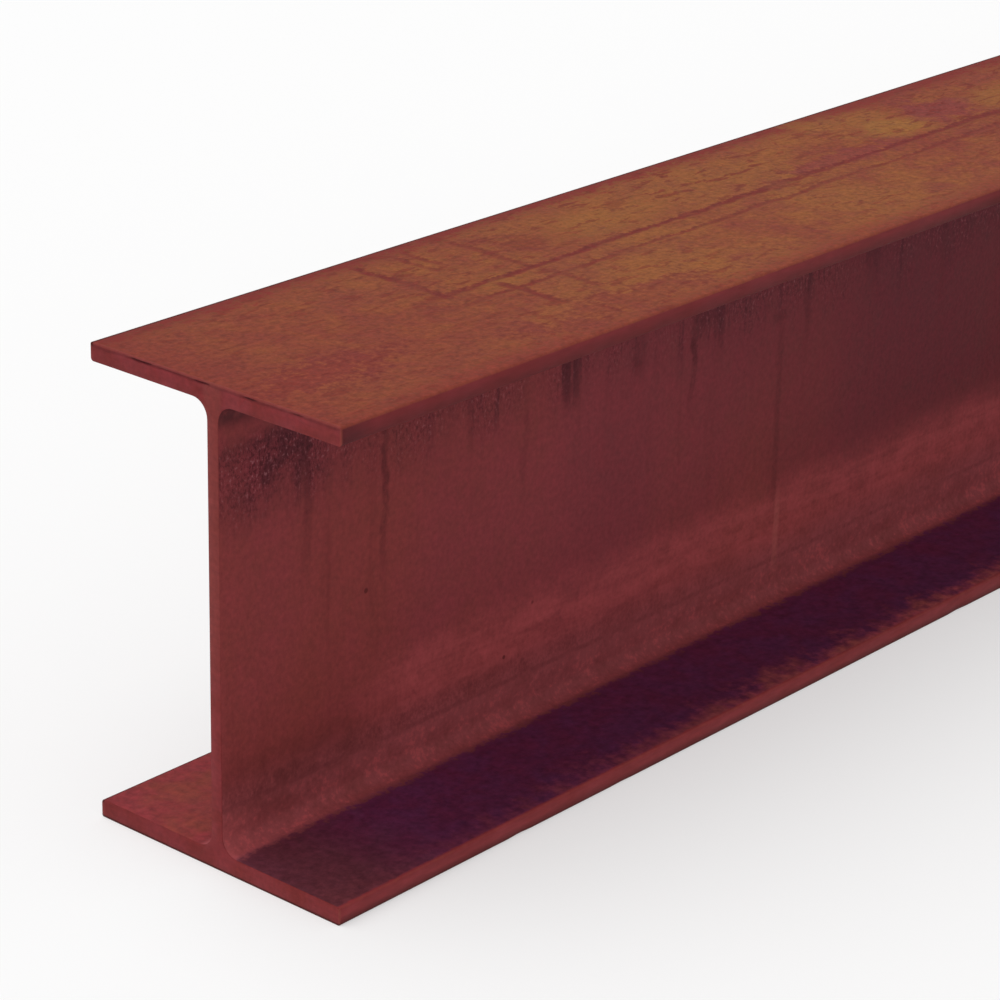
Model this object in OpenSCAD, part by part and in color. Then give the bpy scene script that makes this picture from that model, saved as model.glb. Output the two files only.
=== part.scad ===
// Hot-rolled steel I-beam with parallel flanges, root fillets and square-sawn ends.
//
// One piece of rolled stock. It lies along X and stands on its bottom flange, with the
// depth of the section along Z. The origin is under the middle of the beam, on the
// underside of the bottom flange.

/* [Stock] */
// Length between the two sawn ends
beam_length = 3000; // [500:10:12000]

/* [Section] */
// Overall depth, from the underside of the bottom flange to the top of the top flange
section_depth = 203.2; // [160:0.1:320]
// Overall width of each flange, toe to toe
flange_width = 133.2; // [90:0.1:200]
// Thickness of each flange
flange_thickness = 7.8; // [6:0.1:16]
// Thickness of the web
web_thickness = 5.7; // [4:0.1:12]

/* [Rounding] */
// Radius of the fillet where the web runs into a flange
root_radius = 7.6; // [3:0.1:16]
// Radius of each flange toe's corner on the side that faces the web
toe_inner_radius = 1.5; // [0.3:0.1:2.5]
// Radius of each flange toe's corner on the flange's outer face
toe_outer_radius = 0.8; // [0.3:0.1:2.5]

/* [Hidden] */
// Sides of a full circle in every rounding
arc_sides = 64;
// How far a cutting shape runs past the edge that it trims
overrun = 1;
// Rust-red mill surface
steel_colour = [0.40, 0.17, 0.16];

half_depth = section_depth / 2;
half_width = flange_width / 2;
half_web = web_thickness / 2;
// Height of a flange's inner face above or below the middle of the depth
inner_face = half_depth - flange_thickness;

// What a rounding leaves of a square corner at point corner. The arc lies on the side that
// inward points to, a pair of signs, and the square runs past the corner on the other side.
module corner_piece(corner, inward, radius) {
    difference() {
        translate(corner + inward * (radius - overrun) / 2) square(radius + overrun, center = true);
        translate(corner + inward * radius) circle(r = radius, $fn = arc_sides);
    }
}

// Space between the flanges on the +X side of the web, less the two root fillets
module channel_space() {
    difference() {
        translate([half_web, -inner_face])
            square([half_width + overrun - half_web, 2 * inner_face]);
        for (side = [-1, 1])
            corner_piece([half_web, side * inner_face], [1, -side], root_radius);
    }
}

// Trimmings of the four toe corners on the +X side
module toe_trims() {
    for (side = [-1, 1]) {
        corner_piece([half_width, side * half_depth], [-1, -side], toe_outer_radius);
        corner_piece([half_width, side * inner_face], [-1, side], toe_inner_radius);
    }
}

// Everything that the section lacks on one side of its web
module one_side_cut() {
    channel_space();
    toe_trims();
}

// Cross-section, centred on the middle of the web
module section() {
    difference() {
        square([flange_width, section_depth], center = true);
        one_side_cut();
        mirror([1, 0]) one_side_cut();
    }
}

// The beam: its section run out along X
module beam() {
    color(steel_colour)
        translate([-beam_length / 2, 0, half_depth])
            rotate([90, 0, 90])
                linear_extrude(height = beam_length) section();
}

beam();
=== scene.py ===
import math
from random import Random
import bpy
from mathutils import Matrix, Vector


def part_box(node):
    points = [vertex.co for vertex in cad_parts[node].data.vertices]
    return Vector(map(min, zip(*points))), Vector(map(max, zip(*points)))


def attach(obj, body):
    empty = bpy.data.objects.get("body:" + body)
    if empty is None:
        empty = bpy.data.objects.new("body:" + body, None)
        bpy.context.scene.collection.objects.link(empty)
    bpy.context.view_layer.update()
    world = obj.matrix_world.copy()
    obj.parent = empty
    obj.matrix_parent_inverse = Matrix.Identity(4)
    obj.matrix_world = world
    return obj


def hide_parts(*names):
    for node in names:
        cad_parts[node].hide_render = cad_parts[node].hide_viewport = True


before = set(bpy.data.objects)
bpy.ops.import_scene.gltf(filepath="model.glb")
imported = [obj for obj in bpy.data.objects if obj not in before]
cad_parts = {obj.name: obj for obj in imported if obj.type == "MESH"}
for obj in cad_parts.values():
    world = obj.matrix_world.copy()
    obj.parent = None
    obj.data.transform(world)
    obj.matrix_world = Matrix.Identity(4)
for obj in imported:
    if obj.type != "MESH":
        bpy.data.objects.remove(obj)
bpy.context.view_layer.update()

from types import SimpleNamespace

import bmesh
import bpy
from mathutils import Euler, Matrix, Vector, noise

MM = 0.001

# ---------------------------------------------------------------- sizes of the section

LOW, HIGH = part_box("beam")
LENGTH, WIDTH, DEPTH = HIGH - LOW
HALF_LENGTH = LENGTH / 2
HALF_WIDTH = WIDTH / 2
HALF_DEPTH = DEPTH / 2
FLANGE = 7.8 * MM
HALF_WEB = 2.85 * MM
ROOT_RADIUS = 7.6 * MM
TOE_INNER_RADIUS = 1.5 * MM
TOE_OUTER_RADIUS = 0.8 * MM
SAWN_EDGE_RADIUS = 0.3 * MM
INNER_FACE = HALF_DEPTH - FLANGE
ROOT_EDGE = HALF_WEB + ROOT_RADIUS

# Places that lie closer than this are the same
CLOSE = 0.01 * MM

# Lengthwise rows, as distances from the middle: over the flanges' width, and up the web
FLANGE_ROWS = (HALF_WIDTH - 3 * MM, HALF_WIDTH - 9 * MM, 0.042, 0.027, ROOT_EDGE + 2 * MM)
WEB_ROWS = (INNER_FACE - ROOT_RADIUS - 2 * MM, 0.066, 0.044, 0.022)

# Length at the near end that gets the closest cross cuts
FINE_LENGTH = 0.75
FINE_PITCH = 2.8 * MM
COARSE_PITCH = 9 * MM


# ---------------------------------------------------------------- the rolled shape

def long_edges(bm, across=None, height=None):
    """Edges along X; across and height limit how far from the web's middle and mid depth."""
    found = []
    for edge in bm.edges:
        start, end = (v.co for v in edge.verts)
        if abs(start.x - end.x) < max(abs(start.y - end.y), abs(start.z - end.z)):
            continue
        side = abs(start.y)
        level = abs(start.z - HALF_DEPTH)
        if across and not across[0] <= side <= across[1]:
            continue
        if height and not height[0] <= level <= height[1]:
            continue
        found.append(edge)
    return found


def round_edges(bm, edges, radius, segments):
    """Rounds square edges to a radius."""
    bmesh.ops.bevel(
        bm, geom=edges, offset=radius, offset_type="OFFSET", affect="EDGES",
        segments=segments, profile=0.5, material=-1, clamp_overlap=True,
    )


def once_each(elements):
    """Every element once, in the order in which it first comes, so that each run is the same."""
    return list(dict.fromkeys(elements))


def cut_across(bm, point, normal, faces=None):
    """Cuts a plane through the whole shape, or through the given faces alone."""
    chosen = bm.faces if faces is None else faces
    geometry = once_each(part for face in chosen for part in (face, *face.edges, *face.verts))
    bmesh.ops.bisect_plane(bm, geom=geometry, dist=1e-6, plane_co=point, plane_no=normal)


def section_prism():
    """The I-section as a sharp-cornered outline, run out along the whole length."""
    bm = bmesh.new()
    right_side = [
        (HALF_WIDTH, 0), (HALF_WIDTH, FLANGE), (HALF_WEB, FLANGE),
        (HALF_WEB, DEPTH - FLANGE), (HALF_WIDTH, DEPTH - FLANGE), (HALF_WIDTH, DEPTH),
    ]
    left_side = [(-y, z) for y, z in reversed(right_side)]
    corners = [bm.verts.new((LOW.x, y, z)) for y, z in right_side + left_side]
    outline = bm.faces.new(corners)
    run = bmesh.ops.extrude_face_region(bm, geom=[outline])["geom"]
    moved = [v for v in run if isinstance(v, bmesh.types.BMVert)]
    bmesh.ops.translate(bm, verts=moved, vec=(LENGTH, 0, 0))
    bmesh.ops.recalc_face_normals(bm, faces=bm.faces)
    return bm


def round_section(bm):
    """Root fillets, toe corners and the barely broken edges of the sawn ends."""
    toes = (HALF_WIDTH - CLOSE, HALF_WIDTH + CLOSE)
    roots = long_edges(bm, across=(0, HALF_WEB + CLOSE))
    inner = long_edges(bm, across=toes, height=(0, INNER_FACE + CLOSE))
    outer = long_edges(bm, across=toes, height=(HALF_DEPTH - CLOSE, HALF_DEPTH + CLOSE))
    round_edges(bm, roots, ROOT_RADIUS, 8)
    inner = [edge for edge in inner if edge.is_valid]
    round_edges(bm, inner, TOE_INNER_RADIUS, 4)
    outer = [edge for edge in outer if edge.is_valid]
    round_edges(bm, outer, TOE_OUTER_RADIUS, 3)
    ends = [face for face in bm.faces if abs(face.normal.x) > 0.9]
    rims = once_each(edge for face in ends for edge in face.edges)
    round_edges(bm, rims, SAWN_EDGE_RADIUS, 2)


def divide_faces(bm):
    """Lengthwise rows on the wide faces, then cross cuts, closest at the near end."""
    for across in FLANGE_ROWS:
        for side in (-1, 1):
            cut_across(bm, (0, side * across, 0), (0, 1, 0))
    for level in WEB_ROWS:
        for side in (-1, 1):
            cut_across(bm, (0, 0, HALF_DEPTH + side * level), (0, 0, 1))
    cut_across(bm, (LOW.x + FINE_LENGTH, 0, 0), (1, 0, 0))
    for start, end, pitch in (
        (LOW.x, LOW.x + FINE_LENGTH, FINE_PITCH),
        (LOW.x + FINE_LENGTH, HIGH.x, COARSE_PITCH),
    ):
        middle = (start + end) / 2
        uncut = (end - start) / 2
        run = [
            edge for edge in long_edges(bm)
            if edge.calc_length() > uncut
            and abs((edge.verts[0].co.x + edge.verts[1].co.x) / 2 - middle) < 10 * MM
        ]
        bmesh.ops.subdivide_edges(
            bm, edges=run, cuts=round((end - start) / pitch), use_grid_fill=True,
        )


def true_up_cuts(bm):
    """Puts the points of the cross cuts exactly on the section, however the cuts rounded them."""
    stops = (LOW.x + SAWN_EDGE_RADIUS, LOW.x + FINE_LENGTH, HIGH.x - SAWN_EDGE_RADIUS)
    stations = []
    for start, end, pitch in ((*stops[:2], FINE_PITCH), (*stops[1:], COARSE_PITCH)):
        spans = round((end - start) / pitch) + 1
        stations += [start + (end - start) * span / spans for span in range(1, spans + 1)]
    for vert in [v for v in bm.verts if abs(v.co.x - stops[0]) < CLOSE]:
        y, z = vert.co.yz
        for x in stations:
            vert = max((edge.other_vert(vert) for edge in vert.link_edges), key=lambda v: v.co.x)
            vert.co = (x, y, z)


def smooth_step(value, low, high):
    """0 below low, 1 above high, and an even S between them."""
    share = min(1, max(0, (value - low) / (high - low)))
    return share * share * (3 - 2 * share)


def wave(x, scale, seed):
    """Smooth chance along the beam, from 0 to 1."""
    return 0.5 + 0.5 * noise.noise(Vector((x * scale, seed * 7.3, seed * 3.1)))


def roll_waviness(bm):
    """The small waves that rolling and straightening leave: all of them inside the true section."""
    toe_wave = 0.35 * MM
    face_wave = 0.12 * MM
    for vert in bm.verts:
        x, y, z = vert.co
        side = 1 if y > 0 else -1
        upper = 1 if z > HALF_DEPTH else -1
        seed = 2 * side + upper + 5
        toe = smooth_step(abs(y), HALF_WIDTH - 7 * MM, HALF_WIDTH)
        drift = 0.8 * wave(x, 4, seed) + 0.2 * wave(x, 15, seed + 3)
        vert.co.y -= side * toe * toe_wave * drift
        flange = smooth_step(abs(z - HALF_DEPTH), INNER_FACE - ROOT_RADIUS, INNER_FACE)
        droop = toe * wave(x, 7, seed + 9) + 0.5 * wave(x, 11, seed + 20)
        vert.co.z -= upper * flange * face_wave * droop


# Knocks on the toes: at the near end, and over the rest
NEAR_KNOCKS = 22
FAR_KNOCKS = 18


def knock_places():
    """Where the toes are knocked: corner of a flange, reach along it, depth."""
    chance = Random(12)
    knocks = []
    for count in range(NEAR_KNOCKS + FAR_KNOCKS):
        near_end = count < NEAR_KNOCKS
        x = chance.uniform(0.02, FINE_LENGTH) if near_end else chance.uniform(0.8, LENGTH)
        reach = chance.uniform(5, 10) if near_end else chance.uniform(14, 24)
        side = chance.choice((-1, 1))
        upper = chance.choice((-1, 1))
        depth = chance.uniform(0.1, 0.22) if near_end else chance.uniform(0.12, 0.35)
        if near_end and side > 0 and upper > 0:
            continue
        corner = Vector((LOW.x + x, side * HALF_WIDTH, HALF_DEPTH + upper * HALF_DEPTH))
        knocks.append((corner, reach * MM, depth * MM))
    return knocks


def knock_toes(bm):
    """Shallow knocks along the toes, from handling with chains and forks."""
    reach_across, reach_up = 3.5 * MM, 3 * MM
    rim = [v for v in bm.verts if abs(v.co.y) > HALF_WIDTH - 3.2 * MM]
    for corner, reach, depth in knock_places():
        inward = Vector((0, -math.copysign(1, corner.y), math.copysign(0.8, HALF_DEPTH - corner.z)))
        for vert in rim:
            offset = vert.co - corner
            if abs(offset.x) > reach:
                continue
            share = (offset.x / reach) ** 2
            share += (offset.y / reach_across) ** 2 + (offset.z / reach_up) ** 2
            if share < 1:
                vert.co += inward * depth * (1 - share) ** 2


# Stretches over the width where the saw tore the top edge of the near end, and how deep
TEARS = (
    (31, 46, 1.0), (8, 36, 0.45), (0, 11, 0.9), (-25, -15, 0.75), (-39, -26, 0.3), (-49, -40, 0.6),
)
# Depths below the top edge of the cuts that a tear bends, its full depth and its half height
TEAR_LEVELS = (0.75 * MM, 1.05 * MM, 1.4 * MM, 1.8 * MM)
TEAR_DEPTH = 0.75 * MM
TEAR_HALF_HEIGHT = 0.5 * MM
TEAR_PITCH = 1.5 * MM


def cut_end_face(bm, end_x):
    """The cuts in an end face, along its top edge, that let it be torn there."""
    def end_faces(lowest):
        return [
            face for face in bm.faces
            if abs(face.calc_center_median().x - end_x) < CLOSE
            and face.calc_center_median().z > lowest
        ]

    for level in TEAR_LEVELS:
        cut_across(bm, (0, 0, DEPTH - level), (0, 0, 1), end_faces(HALF_DEPTH))
    strip = DEPTH - TEAR_LEVELS[-1] - 0.1 * MM
    for column in range(1, int(WIDTH / TEAR_PITCH)):
        y = -HALF_WIDTH + column * TEAR_PITCH
        cut_across(bm, (0, y, 0), (0, 1, 0), end_faces(strip))


def torn_at(y, end_x):
    """How far the top edge of an end is torn at a place over its width, from 0 to 1."""
    if end_x > 0:
        return smooth_step(wave(y, 45, end_x) + 0.35 * wave(y, 260, end_x), 0.62, 0.8)
    fade = 3 * MM
    return max(
        depth * smooth_step(y, start * MM, start * MM + fade)
        * smooth_step(-y, -end * MM, -end * MM + fade)
        for start, end, depth in TEARS
    )


def tear_sawn_edge(bm, end_x, inward):
    """The torn lip that a saw leaves under an end's top edge: a ragged slit in the end face."""
    cut_end_face(bm, end_x)
    for vert in bm.verts:
        y = vert.co.y
        below = DEPTH - vert.co.z
        if abs(vert.co.x - end_x) > CLOSE or abs(y) > HALF_WIDTH - 4 * MM:
            continue
        if not TEAR_LEVELS[0] < below + 1e-6 < TEAR_LEVELS[-1]:
            continue
        centre = 1.2 * MM + 0.3 * MM * (wave(y, 90, end_x + 4) - 0.5)
        groove = max(0, 1 - ((below - centre) / TEAR_HALF_HEIGHT) ** 2)
        vert.co.x += inward * TEAR_DEPTH * torn_at(y, end_x) * groove


def settled_mesh(bm, name):
    """The mesh, with points and faces in an order that depends on their places alone."""
    points = sorted(bm.verts, key=lambda vert: vert.co[:])
    rank = {vert: number for number, vert in enumerate(points)}
    faces = []
    for face in bm.faces:
        corners = [rank[vert] for vert in face.verts]
        first = corners.index(min(corners))
        faces.append(corners[first:] + corners[:first])
    mesh = bpy.data.meshes.new(name)
    mesh.from_pydata([vert.co[:] for vert in points], [], sorted(faces))
    return mesh


def beam_piece():
    """The whole beam as one closed mesh."""
    bm = section_prism()
    round_section(bm)
    divide_faces(bm)
    true_up_cuts(bm)
    roll_waviness(bm)
    knock_toes(bm)
    tear_sawn_edge(bm, LOW.x, 1)
    tear_sawn_edge(bm, HIGH.x, -1)
    mesh = settled_mesh(bm, "rolled_beam")
    bm.free()
    mesh.polygons.foreach_set("use_smooth", [True] * len(mesh.polygons))
    mesh.set_sharp_from_angle(angle=math.radians(38))
    piece = bpy.data.objects.new("rolled_beam", mesh)
    bpy.context.scene.collection.objects.link(piece)
    return piece


# ---------------------------------------------------------------- shader building

SHEEN = 0.013


def tint(red, green, blue):
    """A finish as it looks, 0 to 255, as the linear colour under the grey sheen of its gloss."""
    channels = []
    for value in (red, green, blue):
        share = value / 255
        linear = share / 12.92 if share <= 0.04045 else ((share + 0.055) / 1.055) ** 2.4
        channels.append(max(linear - SHEEN, 0.002))
    return (*channels, 1.0)


class Wire:
    """One output of a shader node. Arithmetic on it adds Math nodes."""

    def __init__(self, graph, socket):
        self.graph = graph
        self.socket = socket

    def __add__(self, other):
        return self.graph.math("ADD", self, other)

    __radd__ = __add__

    def __sub__(self, other):
        return self.graph.math("SUBTRACT", self, other)

    def __rsub__(self, other):
        return self.graph.math("SUBTRACT", other, self)

    def __mul__(self, other):
        return self.graph.math("MULTIPLY", self, other)

    __rmul__ = __mul__

    def __abs__(self):
        return self.graph.math("ABSOLUTE", self)

    def step(self, low, high):
        """0 at low and 1 at high, with an even S between them; low may be the larger."""
        return self.graph.node(
            "MapRange", {"interpolation_type": "SMOOTHSTEP"},
            {"Value": self, "From Min": low, "From Max": high},
        )

    def most(self, other):
        return self.graph.math("MAXIMUM", self, other)

    def least(self, other):
        return self.graph.math("MINIMUM", self, other)


class Graph:
    """A material's node tree."""

    def __init__(self, name):
        self.material = bpy.data.materials.new(name)
        self.material.use_nodes = True
        self.tree = self.material.node_tree
        self.tree.nodes.clear()

    def node(self, kind, settings=None, inputs=None, output=0):
        """Adds a node: its settings first, then the values or links of its sockets."""
        made = self.tree.nodes.new("ShaderNode" + kind)
        for name, value in (settings or {}).items():
            setattr(made, name, value)
        for name, value in (inputs or {}).items():
            if isinstance(value, Wire):
                self.tree.links.new(value.socket, made.inputs[name])
            else:
                made.inputs[name].default_value = value
        return Wire(self, made.outputs[output]) if made.outputs else None

    def math(self, operation, *values):
        return self.node("Math", {"operation": operation}, dict(enumerate(values)))

    def mix(self, share, first, second, blend="MIX"):
        """Colour first, going over to second as share goes from 0 to 1."""
        return self.node(
            "Mix", {"data_type": "RGBA", "blend_type": blend, "clamp_factor": True},
            {0: share, 6: first, 7: second}, 2,
        )

    def shade(self, colour, strength):
        """A colour made lighter or darker by a factor."""
        return self.node("VectorMath", {"operation": "SCALE"}, {0: colour, "Scale": strength})

    def stretch(self, point, x, y, z):
        return self.node("VectorMath", {"operation": "MULTIPLY"}, {0: point, 1: (x, y, z)})

    def shift(self, point, x, y, z):
        return self.node("VectorMath", {"operation": "ADD"}, {0: point, 1: (x, y, z)})

    def cloud(self, point, scale, detail=4.0, roughness=0.55, distortion=0.0):
        """Noise about 0.5."""
        return self.node("TexNoise", {}, {
            "Vector": point, "Scale": scale, "Detail": detail,
            "Roughness": roughness, "Distortion": distortion,
        })

    def drift(self, place, scale, detail=1.0):
        """Noise about 0.5 that changes along one direction only."""
        return self.node("TexNoise", {"noise_dimensions": "1D"}, {
            "W": place, "Scale": scale, "Detail": detail, "Roughness": 0.55,
        })

    def cells(self, point, scale):
        """Distance from scattered points."""
        return self.node("TexVoronoi", {}, {"Vector": point, "Scale": scale})


def places(graph):
    """Where a point of the surface lies, as wires in metres from the beam's own ends and faces."""
    point = graph.node("TexCoord", output="Object")
    x, y, z = (graph.node("SeparateXYZ", {}, {0: point}, axis) for axis in range(3))
    near = y.step(0.5 * MM, -0.5 * MM)
    run = x * (near * 2 - 1) + HALF_LENGTH
    return SimpleNamespace(
        point=point,
        x=x + HALF_LENGTH,
        y=y,
        z=z,
        run=run,
        side_point=graph.node("CombineXYZ", {}, {0: run, 1: y, 2: z}),
        near=near,
        across=abs(y),
        level=abs(z - HALF_DEPTH),
        from_end=HALF_LENGTH - abs(x),
    )


def skin(graph, colour, roughness, height, depth):
    """One finish as a shader, with its relief; depth is the relief's full height."""
    bump = graph.node("Bump", {}, {"Height": height, "Distance": depth})
    return graph.node("BsdfPrincipled", {}, {
        "Base Color": colour,
        "Roughness": roughness,
        "Normal": bump,
        "Specular IOR Level": 0.15,
    })


# ---------------------------------------------------------------- finishes of the faces

def line(across, centre, half_width):
    """A soft line without an end, where across comes near centre."""
    return abs(across - centre).step(half_width, half_width * 0.3)


def stroke(along, across, centre, half_width, start, end, fade=8 * MM):
    """A soft line: across is the distance that it keeps to, along runs from start to end."""
    middle = (start + end) / 2
    half = (end - start) / 2
    return line(across, centre, half_width) * abs(along - middle).step(half, half - fade)


def spot(graph, place, centre, size, ragged):
    """A ragged patch on the top face, 1 in its middle; centre and size are along and across."""
    squeezed = graph.stretch(place, 1 / size[0], 1 / size[1], 0)
    middle = ((centre[0] - HALF_LENGTH) / size[0], centre[1] / size[1], 0)
    away = graph.node("VectorMath", {"operation": "DISTANCE"}, {0: squeezed, 1: middle}, "Value")
    return (away + ragged).step(1.2, 0.5)


# Drag marks across the top flange: distance from the near end, half width, span over the
# flange's width, strength
CROSS_MARKS = (
    (136.5, 3.4, -2, 62, 1.0),
    (158.5, 2.6, 26, 62, 0.6),
    (166.0, 2.6, 30, 62, 0.65),
    (164.0, 3.6, -34, 8, 0.85),
    (190.5, 3.0, -34, 60, 0.65),
    (145.0, 2.6, -54, -16, 0.4),
    (172.0, 2.2, -62, -40, 0.5),
)


def top_marks(graph, at, ragged):
    """Two long guide marks beside the middle of the top flange, and the marks across it."""
    swaying = at.y + (graph.drift(at.x, 22) - 0.5) * 4 * MM + ragged
    swell = graph.drift(at.x, 13, 2).step(0.3, 0.7) * 2.2 * MM
    first = line(swaying, 7 * MM, swell + 2.1 * MM)
    second = line(swaying, -7 * MM, swell * 0.6 + 1.6 * MM)
    marks = first.most(second * 0.75) * at.x.step(0.103, 0.155)
    swaying = at.x + (graph.drift(at.y, 30) - 0.5) * 5 * MM + ragged
    for place, half_width, start, end, strength in CROSS_MARKS:
        cut = stroke(at.y, swaying, place * MM, half_width * MM, start * MM, end * MM)
        marks = marks.most(cut * strength)
    dragged = graph.cloud(graph.stretch(at.point, 45, 5, 0), 1.0, 1) + ragged * 3
    return marks.most(dragged.step(0.7, 0.78) * at.x.step(0.62, 0.7))


# Patches of the top face: centre and size, both along and across in metres, then strength
OCHRE_PATCHES = (
    ((0.474, 0.024), (0.021, 0.017), 0.95),
    ((0.472, 0.044), (0.024, 0.014), 0.55),
    ((0.562, 0.020), (0.034, 0.018), 0.6),
    ((0.265, 0.030), (0.040, 0.016), 0.5),
    ((0.165, 0.004), (0.016, 0.010), 0.4),
)
PLUM_PATCHES = (((0.512, 0.027), (0.024, 0.019), 1.0), ((0.415, 0.011), (0.045, 0.009), 0.8))
RED_PATCHES = (((0.028, -0.022), (0.045, 0.014), 0.7), ((0.185, -0.050), (0.060, 0.014), 0.45))
DARK_PATCHES = (((0.280, 0.039), (0.010, 0.006), 0.6), ((0.212, 0.031), (0.010, 0.008), 0.6))


def with_patches(graph, at, share, patches, ragged):
    """A share, a wire or 0, raised to each patch's strength inside that patch."""
    for centre, size, strength in patches:
        share = (spot(graph, at.point, centre, size, ragged) * strength).most(share)
    return share


def top_ground(graph, at, top):
    """Warm brown, livelier away from the end, and redder at the edges and in two patches."""
    lively = at.x.step(0.06, 0.22) * 0.5 + 0.5
    tone = ((top.broad - 0.5) * 0.8 + (top.middle - 0.5) * 1.0) * lively
    tone = tone + at.x.step(0.08, 0.28) * 0.22 - at.x.step(0.38, 0.5) * 0.2
    colour = graph.mix(tone.step(-0.22, 0.4), tint(134, 63, 52), tint(145, 88, 54))
    near_edge = (top.ragged - at.y).step(HALF_WIDTH - 14 * MM, HALF_WIDTH - 1 * MM)
    at_end = (at.x + top.ragged).step(0.04, 0.0)
    reddened = (top.far_edge * 0.95).most(near_edge * 0.55).most(at_end * 0.5)
    rough = (top.middle + top.fine - 1) * 2.5
    reddened = with_patches(graph, at, reddened, RED_PATCHES, rough)
    return graph.mix(reddened, colour, tint(130, 54, 51))


def top_patches(graph, at, top, colour):
    """Flushes of red, and the ochre and plum patches."""
    flushes = graph.cloud(graph.shift(at.point, 3, 1, 0), 15, 4, 0.65, 0.5)
    flushed = flushes.step(0.5, 0.7) * (at.x.step(0.35, 0.7) * 0.3 + 0.22)
    colour = graph.mix(flushed, colour, tint(135, 62, 59))
    ochre = flushes.step(0.42, 0.3) * at.x.step(0.2, 0.5) * 0.65
    ochre = with_patches(graph, at, ochre, OCHRE_PATCHES, top.loose)
    colour = graph.mix(ochre, colour, tint(152, 99, 54))
    plum = with_patches(graph, at, 0, PLUM_PATCHES, top.loose)
    return graph.mix(plum * 0.75, colour, tint(133, 60, 60))


def top_freckles(graph, at, top, colour):
    """Dark freckles, thickest along the far edge and in two patches."""
    farther_across = at.y.step(-0.005, 0.03) * at.x.step(0.1, 0.2)
    crowd = top.broad.step(0.35, 0.6) * 0.5 + farther_across * 0.3 + 0.3
    freckles = top.wisps.step(0.53, 0.63) * crowd
    freckles = freckles.most(top.far_edge * top.fine.step(0.48, 0.6) * 0.9)
    freckles = with_patches(graph, at, freckles, DARK_PATCHES, top.loose * 1.3)
    return graph.mix(freckles * 0.68, colour, tint(118, 48, 43))


def top_finish(graph, at):
    """Warm brown rust of the top face, redder at its edges, with drag marks and ochre patches."""
    fine = graph.cloud(at.point, 330, 2, 0.75)
    middle = graph.cloud(at.point, 62, 4, 0.65, 0.4)
    ragged = (middle - 0.5) * 26 * MM + (fine - 0.5) * 22 * MM
    top = SimpleNamespace(
        fine=fine,
        middle=middle,
        broad=graph.cloud(at.point, 11, 3, 0.6, 0.3),
        wisps=graph.cloud(graph.stretch(at.point, 75, 210, 0), 1.0, 3, 0.68, 0.4),
        ragged=ragged,
        loose=(middle - 0.5) * 2.6 + (fine - 0.5) * 1.0,
        far_edge=(at.y + ragged).step(HALF_WIDTH - 13 * MM, HALF_WIDTH - 3 * MM),
    )
    colour = top_ground(graph, at, top)
    colour = top_patches(graph, at, top, colour)
    colour = top_freckles(graph, at, top, colour)

    worn = middle.step(0.34, 0.5).least(top.wisps.step(0.3, 0.46))
    stray = (middle - 0.5) * 7 * MM + (fine - 0.5) * 5 * MM
    marks = top_marks(graph, at, stray) * (worn * 0.6 + 0.4)
    colour = graph.mix(marks * 0.85, colour, tint(116, 46, 46))
    grain = (fine - 0.5) * 1.2 + (middle - 0.5) * 0.3 + 1.0
    relief = graph.cloud(at.point, 420, 1)
    return skin(graph, graph.shade(colour, grain), 0.64 + (middle - 0.5) * 0.25, relief, 0.2 * MM)


# Runs of dirt down the web: distance from the near end, half width, lowest point, strength
RUNS = (
    (47.0, 3.6, 95, 0.6),
    (91.5, 2.8, 72, 0.8),
    (176.0, 3.2, 85, 0.4),
    (205.0, 7.0, 136, 0.6),
    (250.0, 6.0, 138, 0.6),
    (288.0, 3.0, 104, 0.9),
    (370.0, 3.4, 110, 0.4),
)


def web_ground(graph, at, web):
    """Maroon, with painted shade over a long stretch of the web where the light falls off along it,
    and faint upright streaks.
    """
    hue = web.broad + (web.middle - 0.5) * 0.3
    colour = graph.mix(hue.step(0.3, 0.7), tint(133, 61, 58), tint(132, 59, 64))
    # Painted shade: darker patches of the web away from the near end, where the light falls off;
    # not at its foot.
    shaded = (at.run + (web.broad - 0.5) * 0.3).step(0.2, 0.52) * at.run.step(1.3, 0.75)
    shaded = shaded.most(web.broad.step(0.66, 0.36) * at.run.step(0.9, 1.3))
    colour = graph.mix(shaded * at.z.step(0.035, 0.085) * 0.7, colour, tint(92, 41, 49))
    return graph.mix(web.streaked.step(0.55, 0.8) * 0.25, colour, tint(104, 44, 46))


def web_band(graph, at, web, colour):
    """The speckled band under the top flange, with drips, and a painted shadow along the root just
    under the flange.
    """
    band = (at.z + web.fray).step(0.134, 0.166) * (at.z + web.fray * 0.2).step(0.1835, 0.172)
    at_mouth = at.run.step(0.085, 0.045) * (at.run.step(0.008, 0.02) * 0.6 + 0.4)
    dense = graph.drift(at.run, 13).step(0.32, 0.6) * 0.4 + 0.35
    dense = dense.most(at_mouth)
    dark_specks = web.specks.step(0.5, 0.4) * band * dense
    pale_specks = web.specks.step(0.57, 0.68) * band * dense
    colour = graph.mix(band * dense * (at_mouth * 0.2 + 0.4), colour, tint(98, 43, 52))
    dripping = at.run.step(0.06, 0.2) * at.run.step(0.7, 0.3).most(0.5)
    drips = band * web.streaked.step(0.5, 0.62) * dripping
    blotches = band * at_mouth * web.middle.step(0.56, 0.42)
    colour = graph.mix((drips * 0.6).most(blotches * 0.55), colour, tint(72, 34, 42))
    colour = graph.mix(dark_specks * 0.65, colour, tint(66, 31, 37))
    colour = graph.mix(pale_specks * 0.6, colour, tint(156, 98, 104))
    # Painted shadow: darker along the root just under the top flange, most at the sawn end.
    painted_root_shadow = at.z.step(0.182, 0.190) * (at.run.step(0.08, 0.02) * 0.36 + 0.45)
    painted_root_shadow = painted_root_shadow * (web.middle.step(0.3, 0.5) * 0.4 + 0.6)
    return graph.mix(painted_root_shadow, colour, tint(66, 36, 40))


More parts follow.
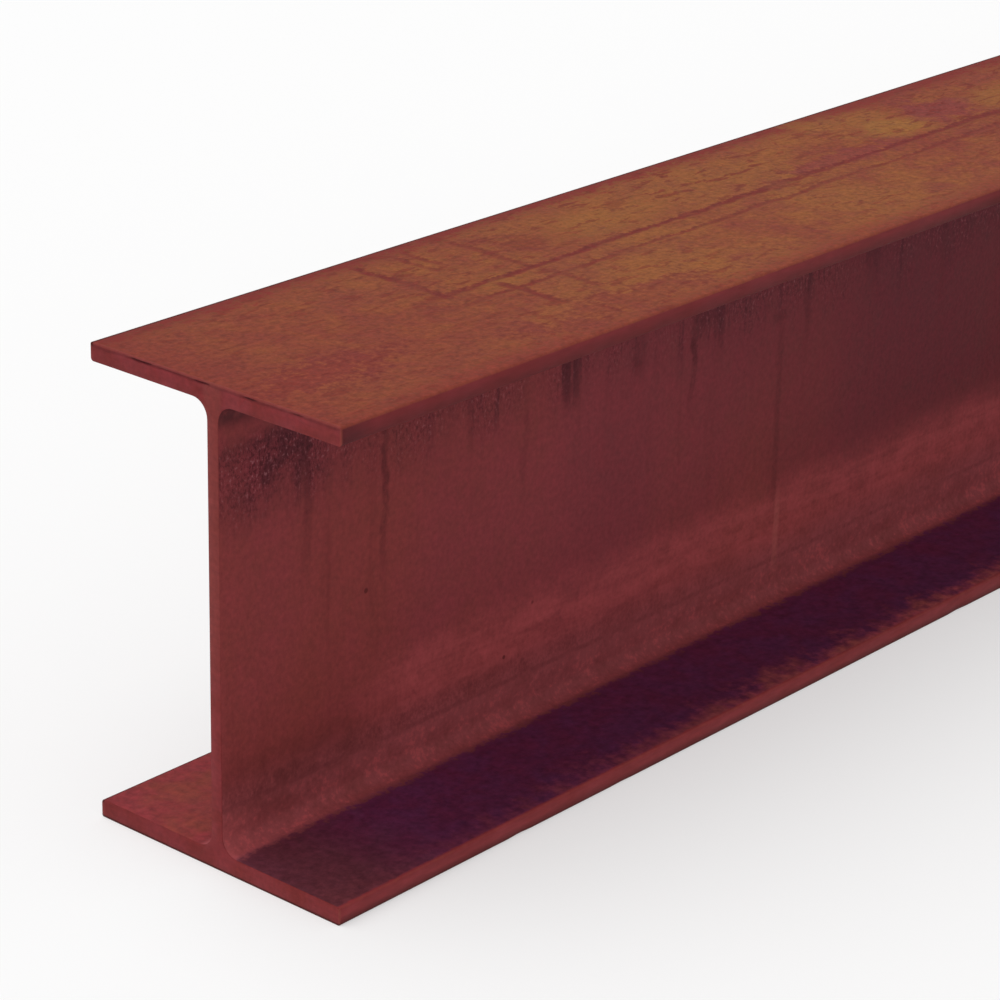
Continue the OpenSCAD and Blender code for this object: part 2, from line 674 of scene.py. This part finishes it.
def web_runs(graph, at, web, colour):
    """Runs of dirt: the listed ones, and others farther along."""
    stray = at.run + web.sway + (web.middle - 0.5) * 7 * MM
    past_listed = at.run.step(0.5, 0.65) * 0.6 + 0.15
    runs = web.streaked.step(0.66, 0.76) * past_listed * at.z.step(0.05, 0.15)
    for centre, half_width, lowest, strength in RUNS:
        down = at.z.step(lowest * MM, 150 * MM) * strength
        runs = runs.most(line(stray, centre * MM, half_width * MM) * down)
    broken = web.middle.step(0.4, 0.54) * 0.45 + web.specks.step(0.4, 0.58) * 0.3 + 0.25
    return graph.mix(runs * broken * 0.75, colour, tint(72, 34, 38))


def web_low_band(graph, at, web, colour):
    """The paler band low down, the rusty root below it, and the dirt and crease between them."""
    drawn = graph.cloud(graph.stretch(at.side_point, 22, 22, 190), 1.0, 3, 0.6)
    pale_band = abs(at.z + web.fray * 0.1 - 0.045).step(0.026, 0.004) * at.run.step(0.06, 0.11)
    mottle = drawn.step(0.35, 0.65) * 0.3 + web.middle.step(0.4, 0.6) * 0.15 + 0.26
    colour = graph.mix(pale_band * mottle, colour, tint(174, 80, 82))
    low_rust = at.z.step(0.042, 0.022) * (web.middle.step(0.35, 0.6) * 0.2 + 0.6)
    colour = graph.mix(low_rust, colour, tint(166, 84, 88))
    settled = at.z + (web.middle - 0.5) * 7 * MM
    dark_band = abs(settled - 0.030).step(0.009, 0.001) * at.run.step(0.5, 0.1).most(0.2)
    clumps = web.middle.step(0.62, 0.38) * 0.12 + web.specks.step(0.62, 0.42) * 0.24
    colour = graph.mix(dark_band * clumps, colour, tint(92, 44, 48))
    flecks = at.z.step(0.027, 0.020) * (web.fine + web.middle * 0.6).step(0.84, 0.98)
    colour = graph.mix(flecks * 0.3, colour, tint(200, 88, 90))
    crease = abs(settled * 0.4 + at.z * 0.6 - 0.0262).step(1.8 * MM, 0.4 * MM)
    broken = web.middle.step(0.38, 0.58) * (web.specks.step(0.36, 0.6) * 0.6 + 0.4)
    return graph.mix(crease * broken * 0.32, colour, tint(80, 38, 42))


def web_mouth(graph, at, web, colour):
    """A stain low down at the sawn end, and the rubbed root right at the cut."""
    stain = at.run.step(0.1, 0.04) * abs(at.z - 0.031).step(0.020, 0.005)
    stain = stain * (web.middle.step(0.65, 0.35) * 0.2 + 0.2)
    colour = graph.mix(stain, colour, tint(98, 50, 51))
    rubbed_root = at.run.step(0.025, 0.004) * at.z.step(0.030, 0.016)
    return graph.mix(rubbed_root * 0.35, colour, tint(172, 84, 84))


def web_seam(graph, at, web, colour):
    """A faint upright seam on the near side, bright at its foot, and a few pits."""
    seamed = at.run + web.sway * 0.15 + (web.middle - 0.5) * 2 * MM
    seam = stroke(at.z, seamed, 0.3520, 3 * MM, 0.045, 0.148, 0.02)
    seam = seam.most(stroke(seamed, at.z, 0.145, 3.5 * MM, 0.344, 0.356, 2 * MM))
    seam_edge = stroke(at.z, seamed, 0.3555, 2.8 * MM, 0.010, 0.066, 0.02)
    colour = graph.mix(seam * at.near * 0.32, colour, tint(84, 40, 42))
    colour = graph.mix(seam_edge * at.near * 0.45, colour, tint(176, 92, 88))
    pits = graph.cells(at.side_point, 38).step(0.05, 0.02)
    along, up = at.run - 0.081, at.z - 0.095
    from_pit = along * along + up * up
    pits = pits.most(from_pit.step(2.2 * MM * MM, 0.5 * MM * MM) * at.near)
    return graph.mix(pits * 0.7, colour, tint(72, 30, 32))


def web_finish(graph, at):
    """Maroon web: a speckled band with runs under the top flange, a paler band low down."""
    place = at.side_point
    middle = graph.cloud(place, 75, 3, 0.65, 0.3)
    web = SimpleNamespace(
        fine=graph.cloud(place, 420, 2, 0.7),
        middle=middle,
        broad=graph.cloud(graph.stretch(place, 7, 5, 3), 1.0, 2, 0.5),
        streaked=graph.cloud(graph.stretch(place, 140, 140, 9), 1.0, 2, 0.6),
        fray=(graph.cloud(graph.stretch(place, 42, 0, 7), 1.0, 4, 0.7) - 0.5) * 70 * MM,
        specks=graph.cloud(graph.stretch(place, 700, 700, 450), 1.0, 2, 0.7),
        sway=(graph.drift(at.z, 40, 2) - 0.5) * 7 * MM,
    )
    colour = web_ground(graph, at, web)
    for layer in (web_band, web_runs, web_low_band, web_mouth, web_seam):
        colour = layer(graph, at, web, colour)
    grain = (web.fine - 0.5) * 0.66 + (middle - 0.5) * 0.32 + 1.0
    relief = graph.cloud(graph.stretch(place, 600, 600, 400), 1.0, 1)
    return skin(graph, graph.shade(colour, grain), 0.68 + (middle - 0.5) * 0.2, relief, 0.18 * MM)


def near_flange_colour(graph, at, scale, islands, fine, middle, brushed):
    """Dark purple scale of the near side, partly a painted shadow of the top flange, with rust at
    the toe and the foot of the web, and a browner patch at the end that is painted light.
    """
    rust = graph.mix(middle.step(0.4, 0.65), tint(156, 72, 80), tint(146, 76, 74))
    # Painted light: browner and lighter near the open end, where light falls in under the top
    # flange.
    end = (at.run + (middle - 0.5) * 0.05).step(0.075, 0.02)
    colour = graph.mix(end * 0.75, scale, tint(95, 54, 56))
    frayed = at.across + (brushed - 0.5) * 24 * MM + (middle - 0.5) * 34 * MM
    frayed = frayed + (fine - 0.5) * 14 * MM
    toe = frayed.step(50 * MM, 74 * MM) * (at.run.step(0.03, 0.36) * 0.88 + 0.12)
    colour = graph.mix(toe.most(islands * 0.6), colour, rust)
    edge = at.across + (middle - 0.5) * 6 * MM + (fine - 0.5) * 15 * MM + (brushed - 0.5) * 4 * MM
    return graph.mix(edge.step(13.5 * MM, 9.5 * MM), colour, tint(142, 74, 80))


def lower_flange_finish(graph, at):
    """Upper side of the bottom flange: on the near side purple mill scale, darkened as a painted
    shadow of the top flange; on the far side red rust.
    """
    place = at.side_point
    fine = graph.cloud(place, 300, 3, 0.65)
    middle = graph.cloud(place, 60, 3, 0.6, 0.3)
    brushed = graph.cloud(graph.stretch(place, 170, 45, 1), 1.0, 3, 0.65)
    scale = graph.mix(middle.step(0.3, 0.7), tint(93, 49, 78), tint(98, 46, 70))
    # Painted light: the scale is made lighter towards the web's root.
    scale = graph.shade(scale, at.across.step(0.056, 0.010) * 0.38 + 0.86)
    islands = graph.cloud(place, 14, 3, 0.65).step(0.55, 0.7) * at.run.step(0.7, 1.1)
    near_colour = near_flange_colour(graph, at, scale, islands, fine, middle, brushed)

    browned = graph.cloud(place, 32, 3, 0.6)
    far_colour = graph.mix(browned.step(0.46, 0.68) * 0.6, tint(142, 58, 62), tint(136, 70, 55))
    far_colour = graph.mix(islands * 0.7, far_colour, scale)
    colour = graph.mix(at.near, far_colour, near_colour)
    shade = graph.shade(colour, (fine - 0.5) * 1.2 + (brushed - 0.5) * 0.25 + 1.0)
    relief = graph.cloud(place, 360, 1)
    return skin(graph, shade, 0.6 + (brushed - 0.5) * 0.3, relief, 0.14 * MM)


def underside_finish(graph, at):
    """Rust of the beam's underside, rubbed where it has rested on bearers."""
    middle = graph.cloud(at.point, 40, 4, 0.6, 0.5)
    rubbed = graph.cloud(graph.stretch(at.point, 5, 60, 1), 1.0, 3, 0.6).step(0.5, 0.7)
    colour = graph.mix(middle.step(0.35, 0.65), tint(118, 48, 50), tint(132, 62, 52))
    colour = graph.mix(rubbed * 0.5, colour, tint(88, 38, 44))
    return skin(graph, colour, 0.66 + (middle - 0.5) * 0.2, middle, 0.2 * MM)


def sawn_finish(graph, at):
    """Flat red of the sawn ends, with the faint cross lines of the blade and a painted shadow line
    under the top edge.
    """
    middle = graph.cloud(at.point, 60, 3, 0.6)
    blade = graph.cloud(graph.stretch(at.point, 1, 60, 900), 1.0, 2, 0.5)
    grit = graph.cloud(at.point, 420, 2, 0.6)
    colour = graph.mix(middle.step(0.4, 0.65), tint(128, 54, 57), tint(120, 50, 50))
    bright_web = at.across.step(6 * MM, 3 * MM) * at.z.step(0.04, 0.12)
    colour = graph.mix(bright_web * 0.6, colour, tint(129, 64, 60))
    # Painted shadow: a thin dark line under the top edge, as cast by the torn lip, along the whole
    # width.
    lip = abs(at.z + (middle - 0.5) * 2 * MM - DEPTH + 1.3 * MM).step(0.9 * MM, 0.3 * MM)
    colour = graph.mix(lip * 0.4, colour, tint(86, 38, 40))
    shade = (grit - 0.5) * 0.6 + (blade - 0.5) * 0.25 + 1.0
    return skin(graph, graph.shade(colour, shade), 0.62 + (middle - 0.5) * 0.2, blade, 0.06 * MM)


def toe_finish(graph, at):
    """Rolled edges of the flanges: red, with painted shade towards each flange's lower corner and
    away from the near end, the upper toes painted darker than the lower.
    """
    middle = graph.cloud(at.side_point, 70, 3, 0.6)
    drawn = graph.cloud(graph.stretch(at.side_point, 90, 420, 420), 1.0, 3, 0.6)
    # The upper toes are painted darker than the lower ones: painted shade.
    upper = graph.mix(middle.step(0.25, 0.75), tint(124, 49, 53), tint(120, 48, 50))
    lower = graph.mix(middle.step(0.25, 0.75), tint(138, 58, 62), tint(133, 55, 57))
    colour = graph.mix(at.z.step(0.05, 0.15), lower, upper)
    in_upper = at.z.step(HALF_DEPTH, HALF_DEPTH + 1 * MM)
    under_top = at.z.step(DEPTH - 1 * MM, DEPTH - FLANGE) * in_upper
    away = at.run.step(0.2, 0.5) * at.run.step(1.0, 0.7) * 0.22
    # Painted shade: darker towards the upper toes' lower corner, along the lower toes' bottom edge,
    # and away from the near end.
    below = (under_top * (away + 0.56)).most(at.z.step(4.4 * MM, 0.9 * MM) * 0.62).most(away * 0.5)
    colour = graph.mix(below, colour, tint(75, 29, 33))
    corner = at.run.step(0.020, 0.004) * in_upper
    colour = graph.mix(corner * 0.55, colour, tint(72, 36, 40))
    shade = graph.shade(colour, (drawn - 0.5) * 0.6 + 1.0)
    return skin(graph, shade, 0.6 + (middle - 0.5) * 0.2, drawn, 0.1 * MM)


def plain_finish(graph, colour, roughness):
    """A finish without any pattern, for the narrow lines along the corners."""
    return graph.node("BsdfPrincipled", {}, {
        "Base Color": colour,
        "Roughness": roughness,
        "Specular IOR Level": 0.15,
    })


def rubbed_and_highlight_finish(graph, at):
    """Rubbed corners with a painted highlight, a little paler and smoother than the faces."""
    return plain_finish(graph, tint(146, 76, 66), 0.55)


def painted_edge_shade_finish(graph, at):
    """Painted shade: a dark line along the far corners that face away from the light, and along the
    bottom edges on the floor.
    """
    return plain_finish(graph, tint(62, 30, 33), 0.75)


def rubbed_and_highlight_share(at, fringe):
    """Where the long corners are rubbed and carry a painted highlight: all but the top flange's
    inner ones.
    """
    to_side = HALF_WIDTH - at.across
    to_face = HALF_DEPTH - at.level
    to_inner = abs(at.z - FLANGE) + 0.2 * MM
    arris = to_side.most(to_face.least(to_inner)).least(to_side.most(at.from_end))
    arris = arris.least(to_face.most(at.from_end))
    return (arris + fringe).step(1.3 * MM, 0.2 * MM) * 0.4


def painted_edge_shade_share(at, fringe):
    """Where shade is painted along the corners: the far ones that face up, and the bottom ones on
    the floor.
    """
    far_arris = (at.y + fringe * 0.5).step(HALF_WIDTH - 2.2 * MM, HALF_WIDTH - 1.3 * MM)
    upward = at.z.step(DEPTH - 2 * MM, DEPTH - 1 * MM)
    upward = upward.most(abs(at.z - FLANGE).step(1.5 * MM, 0.8 * MM))
    to_side = HALF_WIDTH - at.across
    bottom_edge = (at.z + fringe * 0.5).step(1.4 * MM, 0.7 * MM)
    bottom_edge = bottom_edge * to_side.least(at.from_end).step(1 * MM, 0.4 * MM)
    return (far_arris * upward).most(bottom_edge) * 0.75


def rusted_steel():
    """The beam's one material: a finish for each face, blended where the faces meet."""
    graph = Graph("rusted_steel")
    at = places(graph)
    fringe = (graph.cloud(at.point, 300, 1) - 0.5) * 1.2 * MM
    on_bottom_flange = at.across.step(ROOT_EDGE - 3 * MM, ROOT_EDGE) * at.z.step(0.1, 0.02)
    on_toe = (at.across + fringe).step(HALF_WIDTH - 2.2 * MM, HALF_WIDTH - 0.9 * MM)
    on_underside = (at.z + fringe * 0.5).step(1.3 * MM, 0.5 * MM)
    on_top = (at.z + fringe * 0.5).step(DEPTH - 1.3 * MM, DEPTH - 0.5 * MM)
    on_end = (at.from_end + fringe * 0.2).step(0.5 * MM, 0.2 * MM)
    surface = web_finish(graph, at)
    for share, finish in (
        (on_bottom_flange, lower_flange_finish),
        (on_toe, toe_finish),
        (on_underside, underside_finish),
        (on_top, top_finish),
        (on_end, sawn_finish),
        # The last two finishes are the paler corner lines, partly a painted highlight, and the
        # painted shade along the far and bottom corners.
        (rubbed_and_highlight_share(at, fringe), rubbed_and_highlight_finish),
        (painted_edge_shade_share(at, fringe), painted_edge_shade_finish),
    ):
        surface = graph.node("MixShader", {}, {0: share, 1: surface, 2: finish(graph, at)})
    graph.node("OutputMaterial", {}, {"Surface": surface})
    return graph.material


# ---------------------------------------------------------------- floor, lights and camera

def floor_piece():
    """A plain pale floor."""
    reach = 40
    bm = bmesh.new()
    bmesh.ops.create_grid(bm, x_segments=1, y_segments=1, size=reach)
    mesh = bpy.data.meshes.new("floor")
    bm.to_mesh(mesh)
    bm.free()
    floor = bpy.data.objects.new("floor", mesh)
    bpy.context.scene.collection.objects.link(floor)
    graph = Graph("pale_floor")
    shader = graph.node("BsdfPrincipled", {}, {
        "Base Color": (0.6, 0.6, 0.6, 1.0),
        "Roughness": 1.0,
        "Specular IOR Level": 0.0,
        "Emission Color": (1.0, 1.0, 1.0, 1.0),
        "Emission Strength": 0.399,
    })
    graph.node("OutputMaterial", {}, {"Surface": shader})
    mesh.materials.append(graph.material)
    return floor


def broad_light(name, toward, width, strength):
    """A soft lamp as wide as a ceiling of cloth: it shines the same on everything from one side."""
    lamp = bpy.data.lights.new(name, "SUN")
    lamp.angle = math.radians(width)
    lamp.energy = strength
    holder = bpy.data.objects.new(name, lamp)
    bpy.context.scene.collection.objects.link(holder)
    holder.rotation_euler = Vector(toward).to_track_quat("-Z", "Y").to_euler()
    return holder


def studio():
    """White surroundings, and one broad lamp above, a little behind and to the near end."""
    world = bpy.data.worlds.new("studio")
    world.use_nodes = True
    background = world.node_tree.nodes["Background"]
    background.inputs["Color"].default_value = (1.0, 1.0, 1.0, 1.0)
    background.inputs["Strength"].default_value = 0.5
    bpy.context.scene.world = world
    broad_light("overhead", (0.38, -0.28, -1.0), 75, 1.65)


def camera():
    """Looks along the beam from beside its sawn end, a little above it."""
    lens_camera = bpy.data.cameras.new("camera")
    lens_camera.sensor_width = 36
    lens_camera.lens = 123.5
    lens_camera.clip_start = 0.05
    lens_camera.clip_end = 200
    holder = bpy.data.objects.new("camera", lens_camera)
    bpy.context.scene.collection.objects.link(holder)
    azimuth, elevation, lean = math.radians(-49.11), math.radians(21.89), math.radians(1.27)
    turn = Euler((math.pi / 2 - elevation, 0, azimuth)).to_matrix()
    holder.location = (LOW.x - 0.8325, -0.8634, 0.6390)
    holder.rotation_euler = (turn @ Matrix.Rotation(lean, 3, "Z")).to_euler()
    bpy.context.scene.camera = holder


# ---------------------------------------------------------------- putting it together

camera()
studio()
floor = floor_piece()

beam = beam_piece()
beam.data.materials.append(rusted_steel())
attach(beam, "root")
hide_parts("beam")

bpy.context.scene.view_settings.view_transform = "Standard"
